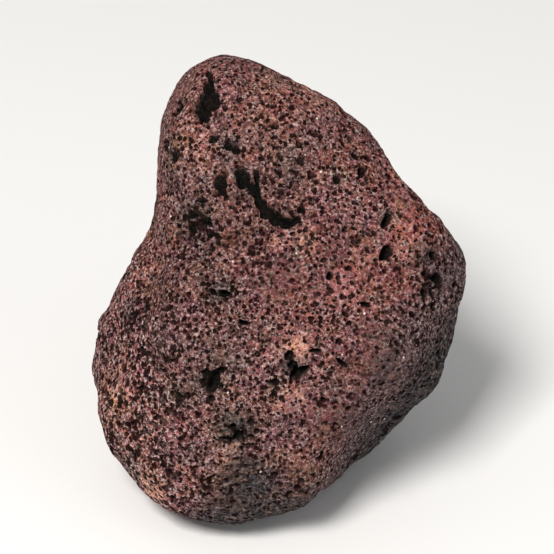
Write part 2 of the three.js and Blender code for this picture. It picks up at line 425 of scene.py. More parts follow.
# Dark places: partly the rock's own dark patches, partly painted shade where the broad face turns from
# the light, as at the left waist.
DARK_SPOTS = (
    (-19, 16.5, 9, 0.9),
    (-16, 15, 16, 0.45),
    (-7, 22, 8, 0.8),
    (0, 17, 8, 0.6),
    (-6, -44, 16, 1.0),
    (-5, -39, 9, 0.75),
    (-4, 2, 7, 0.5),
    (-16, 8, 8, 0.45),
    (-14, 6, 22, 0.25),
    (-12, -20, 15, 0.3),
    (-9, 35, 11, 0.35),
    (2, 26, 8, 0.75),
    (-14, -14, 9, 0.65),
    (-10, -16, 6, 0.5),
    (2, -16, 4.5, 0.9),
    (-8, -40, 11, 1.0),
    (2, -29, 6, 0.4),
    (32, 8, 7, 1.0),
    (-28, 2, 8, 0.6),
    (-19, -34.5, 6, 0.45),
    (-22, 43, 7, 0.5),
    (10, -31, 9, 0.3),
    (-14, -50, 9, 0.9),
    (20, -16, 8, 0.3),
    (36, 3, 10, 0.8),
    (-25, -12.5, 9, 0.5),
    (-34, -5, 8, 0.7),
    (-19, -19, 10, 0.65),
    (-9.5, -28.8, 8, 1.2),
    (-24, 4, 16, 0.5),
    (-16, 1, 9, 0.5),
    (-24, 25, 8, 0.7),
    (-13, 38, 6, 0.55),
    (-20, 27, 8, 0.45),
    (-10, 27.5, 8, 0.65),
    (-5, 33, 8, 0.5),
    (8, 32, 7, 0.35),
    (-28, 18, 9, 0.6),
    (-7, 13.5, 9, 0.65),
    (38, -3, 7, 0.6),
)
# Places painted with the same shade as the far edges.
SHADE_SPOTS = (
    (-6, -42, 10, 0.8),
    (-10, -28, 5, 0.6),
    (-13, 1, 6, 0.5),
    (2, 8, 4, 0.4),
    (-20, -13, 7, 0.35),
    (-10, -15, 5, 0.4),
    (2, -16, 3.5, 0.5),
    (-34, -4, 6, 0.4),
    (-28, 20, 6, 0.4),
    (-10, 32, 4, 0.4),
)
# Places whose grains are lighter.
LIGHT_SPOTS = (
    (3, -10.5, 6, 0.9),
    (-4, -16, 6, 0.42),
    (4, -21.2, 4, 0.8),
    (2, -22.5, 6, 0.9),
    (14, 2, 7, 0.8),
    (27, 12, 8, 0.7),
    (31, 0, 5, 0.25),
    (-35, -19, 9, 0.4),
    (-34, -34, 7, 0.3),
    (-22, -40, 7, 0.5),
    (-28, -44, 10, 1.0),
    (-24, -28, 8, 0.28),
    (-16, -28, 5, 0.3),
    (-11, -35, 5, 0.45),
    (8, 44, 7, 0.35),
    (-5, 38, 5, 0.15),
    (20, 8, 6, 0.3),
    (-11, 20, 5, 0.3),
    (26, 25, 7, 0.55),
)
# Places where the pores and the grains stand out less.
CALM_SPOTS = (
    (22, -16, 15, 0.75),
    (13, -27, 13, 0.65),
    (0, 3, 9, 0.6),
    (8, 2, 8, 0.45),
    (4, -42, 10, 0.4),
    (-10, -46, 9, 0.5),
    (27, 20, 7, 0.5),
    (15, 8, 13, 0.3),
    (24, 0, 10, 0.3),
    (-10, 12, 7, 0.4),
    (-9, -40, 8, 0.5),
)
# Sides of the broad face: the angle round it, and where the change starts and ends. The left flank has
# wider pores and stronger grains, the lower right side is slate beyond both of its limits, partly its
# own greyer colour and partly painted shade, and beyond each dark edge the rock takes painted shade,
# darkest where its lower sides turn from the light.
LEFT_FLANK = (188, 21, 32)
LOWER_RIGHT = ((-35, 20, 27), (-17, 20, 25))
DARK_EDGES = ((-35, 30, 37), (-58, 38, 43.5), (-80, 38, 47))
YELLOW_CAST = (1.04, 1.02, 0.90, 1)
PURPLE_CAST = (1.0, 0.935, 1.02, 1)
WOBBLE = 0.0008  # how far the rims of the pores are shaken, in metres
USUAL_LIGHT = 0.86  # of the grains, as a share of their zone's colour
RELIEF = 0.0003  # the height of the bump in metres
ROUGHNESS_OF_ROCK = 0.92
SHINE_OF_ROCK = 0.04

NOISE_TABLE = 4096
NOISE_PRIMES = (73856093, 19349663, 83492791)
NOISE_SHIFT = 0.37  # each seed moves the lattice by this much of a cube
MIDDLE_CELLS = 48  # the grid that the stone's middle is worked out with
MOST_TRIANGLES = 200000

# The stage, in metres: the gap under the stone, how rough the floor is, and each lamp's place from the
# stone's middle, its size and its colour.
FLOOR_GAP = 0.0002
FLOOR_ROUGHNESS = 0.7
KEY_LAMP = ((-0.36, -0.70, 1.05), 0.40, (1.0, 0.97, 0.94))
FILL_LAMP = ((0.9, -0.6, 0.5), 0.8, (0.95, 0.97, 1.0))


def noise(points, size, seed):
    """Smooth noise from -1 to 1: a random value at each corner of a lattice of cubes of this size,
    blended inside each cube by a smooth step along its three sides."""
    table = np.random.default_rng(seed).uniform(-1, 1, NOISE_TABLE)
    scaled = points / size + seed * NOISE_SHIFT
    cell = np.floor(scaled).astype(np.int64)
    part = scaled - cell
    part = part * part * (3 - 2 * part)
    total = np.zeros(len(points))
    for corner in itertools.product((0, 1), repeat=3):
        key = np.zeros(len(points), np.int64)
        weight = np.ones(len(points))
        for axis in range(3):
            key ^= (cell[:, axis] + corner[axis]) * NOISE_PRIMES[axis]
            weight *= part[:, axis] if corner[axis] else 1 - part[:, axis]
        total += table[key % NOISE_TABLE] * weight
    return total


def ground_limit(directions):
    """How far each direction can go before it meets the ground."""
    down = np.minimum(directions[:, 2], -1e-6)
    return np.where(directions[:, 2] < 0, -CENTRE_HEIGHT / down, np.inf)


def body_radius(directions):
    """The whole lump: its gauge, its swellings, its waves and its foot, cut level at the ground."""
    points = directions * lump_radius(directions)[:, None]
    radius = np.linalg.norm(points, axis=1) + swelling(points) + unevenness(points) - foot_hollow(points)
    return np.minimum(radius, ground_limit(directions))


def rough_radius(directions):
    """The lump with the rough rock between its bubbles: layers of noise, each finer and lower."""
    radius = body_radius(directions)
    points = directions * radius[:, None]
    for size, height, seed in ROUGHNESS:
        radius = radius + height * noise(points, size, seed)
    return np.minimum(radius, ground_limit(directions))


def cube_sphere(cells):
    """Directions on a cube blown up to a sphere. On each side of the cube, a direction is the side's
    normal plus the tangents of two evenly stepped angles along its edges. Points on the cube's edges
    belong to two or three sides and are kept once. Returns the directions, and each side's axes with
    the numbers of its points."""
    step = np.tan(np.linspace(-math.pi / 4, math.pi / 4, cells + 1))
    sides = []
    for axis in range(3):
        for sign in (1, -1):
            normal, first, second = np.roll(np.eye(3), axis, axis=1) * np.array((sign, 1, sign))[:, None]
            sides.append(np.array((first, second, normal)))
    grids = [side[2] + step[:, None, None] * side[0] + step[None, :, None] * side[1] for side in sides]
    grids = unit(np.array(grids))
    inner = np.zeros((cells + 1, cells + 1), bool)
    inner[1:-1, 1:-1] = True
    inner_points = grids[:, inner].reshape(-1, 3)
    rim_points = grids[:, ~inner].reshape(-1, 3)
    rounded = np.round(rim_points, 7)
    _, kept, back = np.unique(rounded, axis=0, return_index=True, return_inverse=True)
    numbers = np.empty(grids.shape[:3], np.int64)
    numbers[:, inner] = np.arange(len(inner_points)).reshape(6, -1)
    numbers[:, ~inner] = len(inner_points) + back.reshape(6, -1)
    return np.concatenate((inner_points, rim_points[kept])), sides, numbers


def face_points(places):
    """The points of the broad face at places across and up it, found by closing in on their distance
    out: further out where the ray through the guess lands too wide, nearer where it falls short."""
    places = places + np.array(FACE_MIDDLE)
    wanted = np.hypot(places[:, 0], places[:, 1])
    out = np.full(len(places), FRONT_BULGE)
    for _ in range(FACE_ROUNDS):
        directions = unit(places[:, :1] * ACROSS + places[:, 1:2] * UP + out[:, None] * OUT)
        points = directions * rough_radius(directions)[:, None]
        excess = np.hypot(points @ ACROSS, points @ UP) - wanted
        out = np.maximum(out + FACE_STEP * excess, 1.0)
    return points


def named_bubbles():
    """The bubbles that stand out on the broad face, as their centres and the matrices that turn each
    one into a unit ball."""
    table = np.array(FACE_BUBBLES, float)
    points = face_points(table[:, :2])
    inward = unit(points)
    turn = np.radians(table[:, 4])
    first = np.cos(turn)[:, None] * ACROSS + np.sin(turn)[:, None] * UP
    first = unit(first - (first * inward).sum(1, keepdims=True) * inward)
    second = np.cross(inward, first)
    axes = np.stack((first, second, inward), axis=1)
    halves = np.stack((table[:, 2] / 2, table[:, 3] / 2, table[:, 5]), axis=1)
    return points - inward * NAMED_SINK * table[:, 5:6], axes / halves[:, :, None]


def nest_bubbles():
    """Small round bubbles in nests: their places are spread round each nest by the bell curve."""
    rng = np.random.default_rng(NEST_SEED)
    places = []
    for across, up, spread, count in BUBBLE_NESTS:
        places.append(rng.normal(size=(count, 2)) * spread * NEST_WIDTH + (across, up))
    points = face_points(np.concatenate(places))
    radii = rng.uniform(*NEST_RADII, len(points))
    sink = rng.uniform(*NEST_SINK, len(points)) * radii
    balls = np.eye(3) / radii[:, None, None]
    return points - unit(points) * sink[:, None], balls


def radius_at(directions, radius, sides, numbers):
    """The present radius along any direction: that of the nearest point of the grid."""
    cells = numbers.shape[1] - 1
    axes = np.array(sides)
    side = (directions @ axes[:, 2].T).argmax(1)
    first, second, normal = (np.einsum("ij,ij->i", directions, axes[side, axis]) for axis in range(3))
    spots = [np.arctan2(share, normal) / (math.pi / 2) + 0.5 for share in (first, second)]
    rows, columns = (np.clip(np.rint(spot * cells), 0, cells).astype(int) for spot in spots)
    return radius[numbers[side, rows, columns]]


def scattered_bubbles(kind, seed, radius, sides, numbers):
    """Bubbles spread over the stone: the points of a shaken lattice that lie within half its spacing of
    the present surface. Each sinks by a random share of its radius. The radii run from smallest to
    largest, with small ones commoner, and grow and shrink over patches; only a share of them is kept."""
    spacing, smallest, largest, face_share, side_share, stretch, patch = kind
    rng = np.random.default_rng(seed)
    reach = np.arange(-LATTICE_REACH, LATTICE_REACH, spacing)
    lattice = np.stack(np.meshgrid(reach, reach, reach, indexing="ij"), axis=-1).reshape(-1, 3)
    lattice += rng.uniform(-0.5, 0.5, lattice.shape) * spacing
    chance = rng.uniform(0, 1, len(lattice))
    distance = np.linalg.norm(lattice, axis=1)
    facing = np.clip((lattice @ OUT / distance + FACING_FADE) / (2 * FACING_FADE), 0, 1)
    share = side_share + (face_share - side_share) * facing
    nearest, farthest = SURFACE_REACH
    near = (distance > nearest) & (distance < farthest) & (chance < share)
    lattice, distance = lattice[near], distance[near]
    directions = lattice / distance[:, None]
    surface = radius_at(directions, radius, sides, numbers)
    close = np.abs(surface - distance) < spacing / 2
    lattice, directions, surface = lattice[close], directions[close], surface[close]
    count = len(lattice)
    growth = 1 + PATCH_GROWTH * noise(lattice, patch, seed + 1)
    radii = (smallest + (largest - smallest) * rng.uniform(0, 1, count) ** SMALL_FAVOUR) * growth
    sink = rng.uniform(*SCATTERED_SINK, count) * radii
    axes, _ = np.linalg.qr(rng.normal(size=(count, 3, 3)))
    halves = radii[:, None] * np.exp(rng.uniform(-stretch, stretch, (count, 3)))
    return directions * (surface - sink)[:, None], axes / halves[:, :, None]


def open_bubbles(radius, hollow, directions, sides, numbers, bubbles):
    """Cuts bubbles into the stone. Along a direction, a bubble spans the two roots of a quadratic, and
    where the surface lies between them it moves in to the nearer one. Hollow keeps how far into its
    bubble each point lies, as a share of the bubble's radius."""
    centres, balls = bubbles
    cells = numbers.shape[1] - 1
    distance = np.linalg.norm(centres, axis=1)
    pointing = centres / distance[:, None]
    halves = 1 / np.sqrt((balls**2).sum(2))
    reach = halves.max(1)
    usual = halves.mean(1)
    spread = 1.7 * reach / distance + 2 / cells
    jobs = []
    for number, side in enumerate(sides):
        first, second, normal = (pointing @ axis for axis in side)
        safe = np.maximum(normal, 1e-3)
        spots = np.stack((np.arctan2(first, safe), np.arctan2(second, safe)), axis=1)
        places = (spots / (math.pi / 2) + 0.5) * cells
        margin = (spread / (math.pi / 2) * cells)[:, None]
        low = np.clip(np.floor(places - margin), 0, cells + 1).astype(int)
        high = np.clip(np.ceil(places + margin) + 1, 0, cells + 1).astype(int)
        on_side = (normal > 0.3) & (high > low).all(1)
        for bubble in np.nonzero(on_side)[0]:
            jobs.append((bubble, number, *low[bubble], *high[bubble]))
    jobs.sort()
    for bubble, number, low_first, low_second, high_first, high_second in jobs:
        patch = numbers[number, low_first:high_first, low_second:high_second].ravel()
        ball = balls[bubble]
        along = directions[patch] @ ball.T
        middle = ball @ centres[bubble]
        square = (along * along).sum(1)
        linear = along @ middle
        spare = linear * linear - square * (middle @ middle - 1)
        hit = np.nonzero(spare > 0)[0]
        if len(hit) == 0:
            continue
        root = np.sqrt(spare[hit])
        near = (linear[hit] - root) / square[hit]
        far = (linear[hit] + root) / square[hit]
        spots = patch[hit]
        now = radius[spots]
        cut = (near < now) & (far > now)
        depth = (now[cut] - near[cut]) / usual[bubble]
        hollow[spots[cut]] = np.maximum(hollow[spots[cut]], depth)
        radius[spots[cut]] = near[cut]


def stone_surface(settings):
    """The stone as directions with their radii: the rough lump, cut by its bubbles from the largest to
    the smallest, with fine grit over everything. The bubbles are judged along shaken directions, so
    their rims are ragged. Also returns how far each point lies below the unbroken surface, and how far
    into its bubble."""
    directions, sides, numbers = cube_sphere(settings.grid_cells)
    radius = rough_radius(directions)
    unbroken = radius.copy()
    hollow = np.zeros(len(radius))
    points = directions * radius[:, None]
    shake = np.zeros_like(directions)
    for size, strength, seed in SHAKES:
        shake += strength * np.stack([noise(points, size, seed + axis) for axis in range(3)], axis=1)
    shaken = unit(points + RAGGED_NAMED * shake)
    open_bubbles(radius, hollow, shaken, sides, numbers, named_bubbles())
    open_bubbles(radius, hollow, shaken, sides, numbers, nest_bubbles())
    for *kind, ragged, seed in BUBBLE_KINDS:
        shaken = unit(points + ragged * shake)
        bubbles = scattered_bubbles(kind, seed, radius, sides, numbers)
        open_bubbles(radius, hollow, shaken, sides, numbers, bubbles)
    points = directions * radius[:, None]
    for size, height, seed in GRIT:
        radius += height * noise(points, size, seed)
    radius = np.minimum(radius, ground_limit(directions))
    return directions, numbers, radius, {"depth": unbroken - radius, "hollow": hollow}


def add_mesh(name, points, quads, smooth=True):
    """A new object at the origin with this mesh."""
    mesh = bpy.data.meshes.new(name)
    mesh.vertices.add(len(points))
    mesh.vertices.foreach_set("co", np.ascontiguousarray(points, np.float32).ravel())
    mesh.loops.add(quads.size)
    mesh.loops.foreach_set("vertex_index", np.ascontiguousarray(quads, np.int32).ravel())
    mesh.polygons.add(len(quads))
    mesh.polygons.foreach_set("loop_start", np.arange(0, quads.size, 4, dtype=np.int32))
    mesh.polygons.foreach_set("use_smooth", np.full(len(quads), smooth))
    mesh.update(calc_edges=True)
    obj = bpy.data.objects.new(name, mesh)
    bpy.context.scene.collection.objects.link(obj)
    return obj


def side_quads(numbers):
    """The four corners of every cell of every side, anticlockwise as seen from outside."""
    corners = (numbers[:, :-1, :-1], numbers[:, 1:, :-1], numbers[:, 1:, 1:], numbers[:, :-1, 1:])
    return np.stack(corners, axis=-1).reshape(-1, 4)


def apply_modifiers(obj):
    """Replaces the object's mesh with what its modifiers make of it."""
    depsgraph = bpy.context.evaluated_depsgraph_get()
    mesh = bpy.data.meshes.new_from_object(obj.evaluated_get(depsgraph), depsgraph=depsgraph)
    old = obj.data
    obj.modifiers.clear()
    obj.data = mesh
    bpy.data.meshes.remove(old)


def node(tree, kind, inputs=None, **settings):
    """A shader node with its settings made and its inputs joined or set."""
    made = tree.nodes.new(kind)
    for name, value in settings.items():
        setattr(made, name, value)
    for name, value in (inputs or {}).items():
        socket = made.inputs[name]
        if isinstance(value, bpy.types.NodeSocket):
            tree.links.new(value, socket)
        else:
            socket.default_value = value
    return made


def ramp(tree, value, low, high, to_low=0.0, to_high=1.0):
    """The value's place between two limits, as a number from to_low to to_high."""
    inputs = {"Value": value, "From Min": low, "From Max": high, "To Min": to_low, "To Max": to_high}
    return node(tree, "ShaderNodeMapRange", inputs, interpolation_type="SMOOTHSTEP").outputs["Result"]


def arithmetic(tree, operation, first, second=0.0):
    """One sum, product or the like of two numbers."""
    made = node(tree, "ShaderNodeMath", {0: first, 1: second}, operation=operation)
    return made.outputs[0]


def mix(tree, share, first, second, blend="MIX"):
    """Two colours mixed by a share."""
    inputs = {0: share, 6: first, 7: second}
    made = node(tree, "ShaderNodeMix", inputs, data_type="RGBA", blend_type=blend, clamp_factor=True)
    return made.outputs[2]


def mottle(tree, place, scale, detail=3.0, rough=0.6):
    """Cloudy noise at this many lumps a metre, from 0 to 1."""
    inputs = {"Vector": place, "Scale": scale, "Detail": detail, "Roughness": rough}
    return node(tree, "ShaderNodeTexNoise", inputs).outputs["Fac"]


def cells(tree, place, scale):
    """Scattered cells at this many a metre: the distance from each one's middle, and three random
    numbers of its own."""
    cell = node(tree, "ShaderNodeTexVoronoi", {"Vector": place, "Scale": scale})
    split = node(tree, "ShaderNodeSeparateColor", {"Color": cell.outputs["Color"]})
    return cell.outputs["Distance"], split.outputs


def pores(tree, place, scale, smallest, largest):
    """Round pores, one in each cell of a scattered pattern: 1 in a pore and 0 outside it. Each has its
    own size, by the cell's random number."""
    away, random = cells(tree, place, scale)
    edge = arithmetic(tree, "SUBTRACT", away, ramp(tree, random[0], 0.0, 1.0, smallest, largest))
    return ramp(tree, edge, -0.07, 0.04, 1.0, 0.0)


def near_spots(tree, place, spots):
    """The strength of the spots of the broad face at a point: each fades to 0 at its own reach."""
    total = 0.0
    for across, up, reach, strength in spots:
        inputs = {0: place, 1: face_spot(across, up)}
        away = node(tree, "ShaderNodeVectorMath", inputs, operation="DISTANCE").outputs["Value"]
        near = ramp(tree, away, 0.0, reach * MM, strength, 0.0)
        total = near if isinstance(total, float) else arithmetic(tree, "MAXIMUM", total, near)
    return total


def stone_middle():
    """The middle that the stone's radii are counted from: over the CAD stone's box's centre by as much
    as the lump is off its own."""
    directions, _, _ = cube_sphere(MIDDLE_CELLS)
    points = directions * body_radius(directions)[:, None]
    offset = (points.max(0) + points.min(0)) / 2
    low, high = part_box("rock")
    centre = (np.array(low) + np.array(high)) / 2 / MM
    return np.array((centre[0] - offset[0], centre[1] - offset[1], low[2] / MM + CENTRE_HEIGHT))


MIDDLE = stone_middle()


def face_spot(across, up):
    """A point of the broad face, in metres from the origin."""
    point = face_points(np.array(((across, up),), float))[0]
    return tuple((point + MIDDLE) * MM)


def beyond(tree, place, around, start, end):
    """1 where a point lies further than the end along a direction round the broad face, falling to 0
    at the start, both in millimetres from the stone's middle."""
    direction = broad_face_direction(around, 0)
    along = node(tree, "ShaderNodeVectorMath", {0: place, 1: tuple(direction)}, operation="DOT_PRODUCT")
    middle = direction @ MIDDLE
    return ramp(tree, along.outputs["Value"], (start + middle) * MM, (end + middle) * MM)


def grey_of(tree, value):
    """A grey of this brightness."""
    return node(tree, "ShaderNodeCombineColor", {0: value, 1: value, 2: value}).outputs[0]


def tinted(tree, place, colour):
    """The colour drifting between a yellower and a more purple cast, in patches of two sizes."""
    for scale, shift in ((120.0, 3.0), (330.0, 8.0)):
        moved = node(tree, "ShaderNodeVectorMath", {0: place, 1: (shift,) * 3}, operation="ADD")
        cast = ramp(tree, mottle(tree, moved.outputs[0], scale, 2.0, 0.5), 0.36, 0.64)
        tint = mix(tree, cast, PURPLE_CAST, YELLOW_CAST)
        colour = mix(tree, 1.0, colour, tint, "MULTIPLY")
    return colour


def zones(tree, place, dark, edge, colours):
    """The broad zones: mauve with greyer patches, rust, peach, olive, dark places that are partly painted
    shade, a slate lower right side that is partly painted shade, and painted shade at the far edges."""
    broad = mottle(tree, place, 42.0, 4.0, 0.6)
    blotch = mottle(tree, place, 210.0, 4.0, 0.7)
    cooler = ramp(tree, broad, 0.45, 0.65, 0.0, 0.5)
    grey = arithmetic(tree, "MAXIMUM", cooler, near_spots(tree, place, GREY_SPOTS))
    colour = mix(tree, grey, tuple(colours.mauve), tuple(colours.grey))

    reddened = ramp(tree, mottle(tree, place, 60.0, 4.0, 0.65), 0.52, 0.72, 0.0, 0.8)
    rust = arithmetic(tree, "ADD", reddened, near_spots(tree, place, RUST_SPOTS))
    rust = arithmetic(tree, "MULTIPLY", rust, ramp(tree, blotch, 0.35, 0.65, 0.35, 0.9))
    colour = mix(tree, rust, colour, tuple(colours.rust))

    stained = ramp(tree, mottle(tree, place, 170.0, 4.0, 0.7), 0.6, 0.75, 0.0, 0.6)
    peach = arithmetic(tree, "ADD", stained, near_spots(tree, place, PEACH_SPOTS))
    patchy = ramp(tree, mottle(tree, place, 480.0, 3.0, 0.7), 0.40, 0.60, 0.1, 0.8)
    colour = mix(tree, arithmetic(tree, "MULTIPLY", peach, patchy), colour, tuple(colours.peach))

    mossy = ramp(tree, mottle(tree, place, 260.0, 4.0, 0.7), 0.60, 0.74, 0.0, 0.6)
    olive = arithmetic(tree, "MAXIMUM", mossy, near_spots(tree, place, OLIVE_SPOTS))
    colour = mix(tree, olive, colour, tuple(colours.olive))
    # Dark places, partly painted shade.
    colour = mix(tree, dark, colour, tuple(colours.dark))
    colour = tinted(tree, place, colour)

    # The lower right side turns slate: partly its own greyer colour, partly painted shade where it faces
    # down and away from the light.
    lower_right = arithmetic(tree, "MULTIPLY", *(beyond(tree, place, *side) for side in LOWER_RIGHT))
    colour = mix(tree, arithmetic(tree, "MULTIPLY", lower_right, 0.9), colour, tuple(colours.slate_and_shade))
    # Painted shade over the far edges and the shade spots.
    return mix(tree, edge, colour, tuple(colours.shade))


def grained(tree, place, colour, lively, dark, edge, colours):
    """The colour broken into grains: tan ones and grey ones among the rest, each lighter or darker than
    its neighbours, pale ones whose whiteness is partly a painted sheen, and a few crystals. The livelier
    a place, the further its grains are from the usual light. Pale grains are weaker in dark places, and
    greyer in the painted shade of the edges."""
    _, random = cells(tree, place, 1150.0)
    colour = mix(tree, ramp(tree, random[0], 0.80, 0.92, 0.0, 0.28), colour, tuple(colours.tan))
    colour = mix(tree, ramp(tree, random[1], 0.70, 0.88, 0.0, 0.55), colour, tuple(colours.ash))
    fine = mottle(tree, place, 1500.0, 3.0, 0.75)
    coarse = ramp(tree, mottle(tree, place, 620.0, 3.0, 0.65), 0.3, 0.7, 0.62, 1.38)
    each = ramp(tree, random[2], 0.0, 1.0, 0.72, 1.28)
    light = arithmetic(tree, "MULTIPLY", ramp(tree, fine, 0.3, 0.6, 0.42, 1.25), coarse)
    light = arithmetic(tree, "MULTIPLY", light, each)
    light = arithmetic(tree, "MULTIPLY", arithmetic(tree, "SUBTRACT", light, USUAL_LIGHT), lively)
    usual = arithmetic(tree, "ADD", near_spots(tree, place, LIGHT_SPOTS), USUAL_LIGHT)
    light = arithmetic(tree, "ADD", light, usual)
    colour = mix(tree, 1.0, colour, grey_of(tree, light), "MULTIPLY")
    # Pale grains: the rock's light grains, whitened in part as a painted sheen; fewer in dark places, and
    # greyed to ashen in the painted shade of the edges.
    dull = arithmetic(tree, "MAXIMUM", dark, edge)
    pale = arithmetic(tree, "MULTIPLY", ramp(tree, fine, 0.50, 0.66, 0.0, 0.7), lively)
    pale = arithmetic(tree, "MULTIPLY", pale, ramp(tree, dull, 0.0, 1.0, 1.0, 0.4))
    lightest = mix(tree, edge, tuple(colours.pale), tuple(colours.ashen))
    colour = mix(tree, pale, colour, lightest)
    away, random = cells(tree, place, 800.0)
    chosen = ramp(tree, random[1], 0.965, 0.98)
    crystal = arithmetic(tree, "MULTIPLY", chosen, ramp(tree, away, 0.12, 0.28, 1.0, 0.0))
    return mix(tree, crystal, colour, tuple(colours.crystal))


def small_pores(tree, place, lively, flank):
    """Pores too small to be cut in the mesh, with shaken rims: two sizes everywhere, wider ones on the
    left flank, and all of them weaker in calm places."""
    wobble = node(tree, "ShaderNodeTexNoise", {"Vector": place, "Scale": 900.0, "Detail": 2.0})
    inputs = {0: wobble.outputs["Color"], 1: (WOBBLE, WOBBLE, WOBBLE), 2: place}
    ragged = node(tree, "ShaderNodeVectorMath", inputs, operation="MULTIPLY_ADD").outputs[0]
    fine = pores(tree, ragged, 770.0, 0.20, 0.40)
    finer = pores(tree, ragged, 1500.0, 0.12, 0.36)
    small = arithmetic(tree, "MAXIMUM", fine, arithmetic(tree, "MULTIPLY", finer, 0.82))
    wide = arithmetic(tree, "MULTIPLY", pores(tree, ragged, 500.0, 0.22, 0.48), flank)
    small = arithmetic(tree, "MAXIMUM", small, wide)
    return arithmetic(tree, "MULTIPLY", small, ramp(tree, lively, 0.0, 1.0, 0.3, 1.0))


def darkened(tree, colour, small, colours):
    """The colour with painted shade in its pores and its bubbles. A bubble is darker the further a point
    lies into it, and near black where it is deep."""
    depth = node(tree, "ShaderNodeAttribute", attribute_name="depth").outputs["Fac"]
    into = node(tree, "ShaderNodeAttribute", attribute_name="hollow").outputs["Fac"]
    strength = ramp(tree, depth, 0.1, 1.6, 0.84, 0.95)
    shallow = arithmetic(tree, "MULTIPLY", ramp(tree, into, 0.04, 0.75), strength)
    deep = arithmetic(tree, "MAXIMUM", shallow, ramp(tree, depth, 1.0, 2.8, 0.0, 0.96))
    # Painted shade: the pores and the bubbles darkened towards the hollow and deep colours, as shade
    # falls in them.
    hollow = arithmetic(tree, "MAXIMUM", arithmetic(tree, "MULTIPLY", small, 0.97), deep)
    black = mix(tree, ramp(tree, depth, 0.7, 1.6), tuple(colours.hollow), tuple(colours.deep_shade))
    return mix(tree, hollow, colour, black)


def scoria(colours):
    """Scoria: mauve-brown rock with zones of other colours, broken into grains, with painted shade at its
    far edges, in its pores and in its bubbles, near black in the deep ones."""
    material = bpy.data.materials.new("scoria")
    material.use_nodes = True
    tree = material.node_tree
    tree.nodes.clear()
    place = node(tree, "ShaderNodeTexCoord").outputs["Object"]
    flank = beyond(tree, place, *LEFT_FLANK)
    lively = arithmetic(tree, "ADD", 1.0, arithmetic(tree, "MULTIPLY", flank, 0.5))
    lively = arithmetic(tree, "SUBTRACT", lively, near_spots(tree, place, CALM_SPOTS))
    dark = near_spots(tree, place, DARK_SPOTS)
    # Painted shade: the shade spots, and the far edges beyond DARK_EDGES where the lower sides turn from
    # the light.
    edge = near_spots(tree, place, SHADE_SPOTS)
    for side in DARK_EDGES:
        edge = arithmetic(tree, "MAXIMUM", edge, beyond(tree, place, *side))
    colour = zones(tree, place, dark, edge, colours)
    colour = grained(tree, place, colour, lively, dark, edge, colours)
    small = small_pores(tree, place, lively, flank)
    colour = darkened(tree, colour, small, colours)

    grain = mottle(tree, place, 1500.0, 3.0, 0.75)
    relief = arithmetic(tree, "SUBTRACT", arithmetic(tree, "MULTIPLY", grain, 0.8), small)
    bump = node(tree, "ShaderNodeBump", {"Strength": 1.0, "Distance": RELIEF, "Height": relief})
    shader = node(tree, "ShaderNodeBsdfPrincipled", {"Base Color": colour, "Normal": bump.outputs[0]})
    shader.inputs["Roughness"].default_value = ROUGHNESS_OF_ROCK
    shader.inputs["Specular IOR Level"].default_value = SHINE_OF_ROCK
    node(tree, "ShaderNodeOutputMaterial", {"Surface": shader.outputs[0]})
    return material


def plain_material(name, colour, roughness):
    """One even matt colour, for the stage."""
    material = bpy.data.materials.new(name)
    material.use_nodes = True
    shader = material.node_tree.nodes["Principled BSDF"]
    shader.inputs["Base Color"].default_value = colour
    shader.inputs["Roughness"].default_value = roughness
    return material


def colour_property(name, description, default):
    """A colour that a user can change, with its opacity."""
    return bpy.props.FloatVectorProperty(
        name=name, description=description, subtype="COLOR", size=4, min=0, max=1, default=(*default, 1)
    )


def number_property(name, description, default, unit="NONE"):
    """A number that a user can change, with its unit."""
    return bpy.props.FloatProperty(name=name, description=description, default=default, unit=unit)


class StoneSettings(bpy.types.PropertyGroup):
    """The mesh of the stone."""

    grid_cells: bpy.props.IntProperty(
        name="Grid cells", description="Cells along each side of a grid", default=400, min=32, max=600
    )
    triangle_limit: bpy.props.IntProperty(
        name="Triangle limit", description="The most triangles that the stone may keep", default=198000
    )


class StoneColours(bpy.types.PropertyGroup):
    """The colours of the scoria."""

    mauve: colour_property("Mauve", "Most of the rock", (0.170, 0.062, 0.058))
    grey: colour_property("Grey", "Cooler patches", (0.098, 0.059, 0.062))
    rust: colour_property("Rust", "Reddened zones", (0.225, 0.057, 0.041))
    peach: colour_property("Peach", "Peach stains", (0.37, 0.185, 0.128))
    olive: colour_property("Olive", "Dull zones round the bubbles", (0.088, 0.068, 0.050))
    # Dark: partly the rock's own dark patches, partly painted shade.
    dark: colour_property("Dark", "Dark zones", (0.048, 0.034, 0.031))
    # The lower right side's colour: partly its own greyer colour, partly painted shade.
    slate_and_shade: colour_property("Slate", "The lower right side", (0.074, 0.045, 0.048))
    shade: colour_property("Shade", "The far edges and the darkest places", (0.034, 0.032, 0.035))
    tan: colour_property("Tan", "The warmer grains", (0.34, 0.170, 0.112))
    ash: colour_property("Ash", "The greyer grains", (0.105, 0.080, 0.073))
    # Pale: the rock's lightest grains, whitened in part as a painted sheen; ashen: the same grains in the
    # painted shade of the far edges.
    pale: colour_property("Pale", "The lightest grains", (0.58, 0.44, 0.43))
    ashen: colour_property("Ashen", "The lightest grains of the same places", (0.36, 0.325, 0.325))
    crystal: colour_property("Crystal", "A few crystals", (0.85, 0.68, 0.60))
    # Hollow and deep colours: painted shade inside the pores and the bubbles.
    hollow: colour_property("Hollow", "Inside the pores", (0.009, 0.0024, 0.002))
    deep_shade: colour_property("Depths", "Inside the deep bubbles", (0.0022, 0.0045, 0.0035))


class StageSettings(bpy.types.PropertyGroup):
    """The floor, the lights and the camera."""

    floor_colour: colour_property("Floor", "The colour of the floor", (0.94, 0.94, 0.93))
    floor_size: number_property("Floor size", "Side of the floor", 8.0, "LENGTH")
    lens: number_property("Lens", "Focal length", 180.0, "CAMERA")
    elevation: number_property("Elevation", "How far the camera looks down", FACE_LEAN, "ROTATION")
    distance: number_property("Distance", "From the camera to the stone", 0.625, "LENGTH")
    key_power: number_property("Key", "Power of the main light", 17.0, "POWER")
    fill_power: number_property("Fill", "Power of the side light", 1.5, "POWER")
    sky: number_property("Sky", "Strength of the light from all round", 0.33)


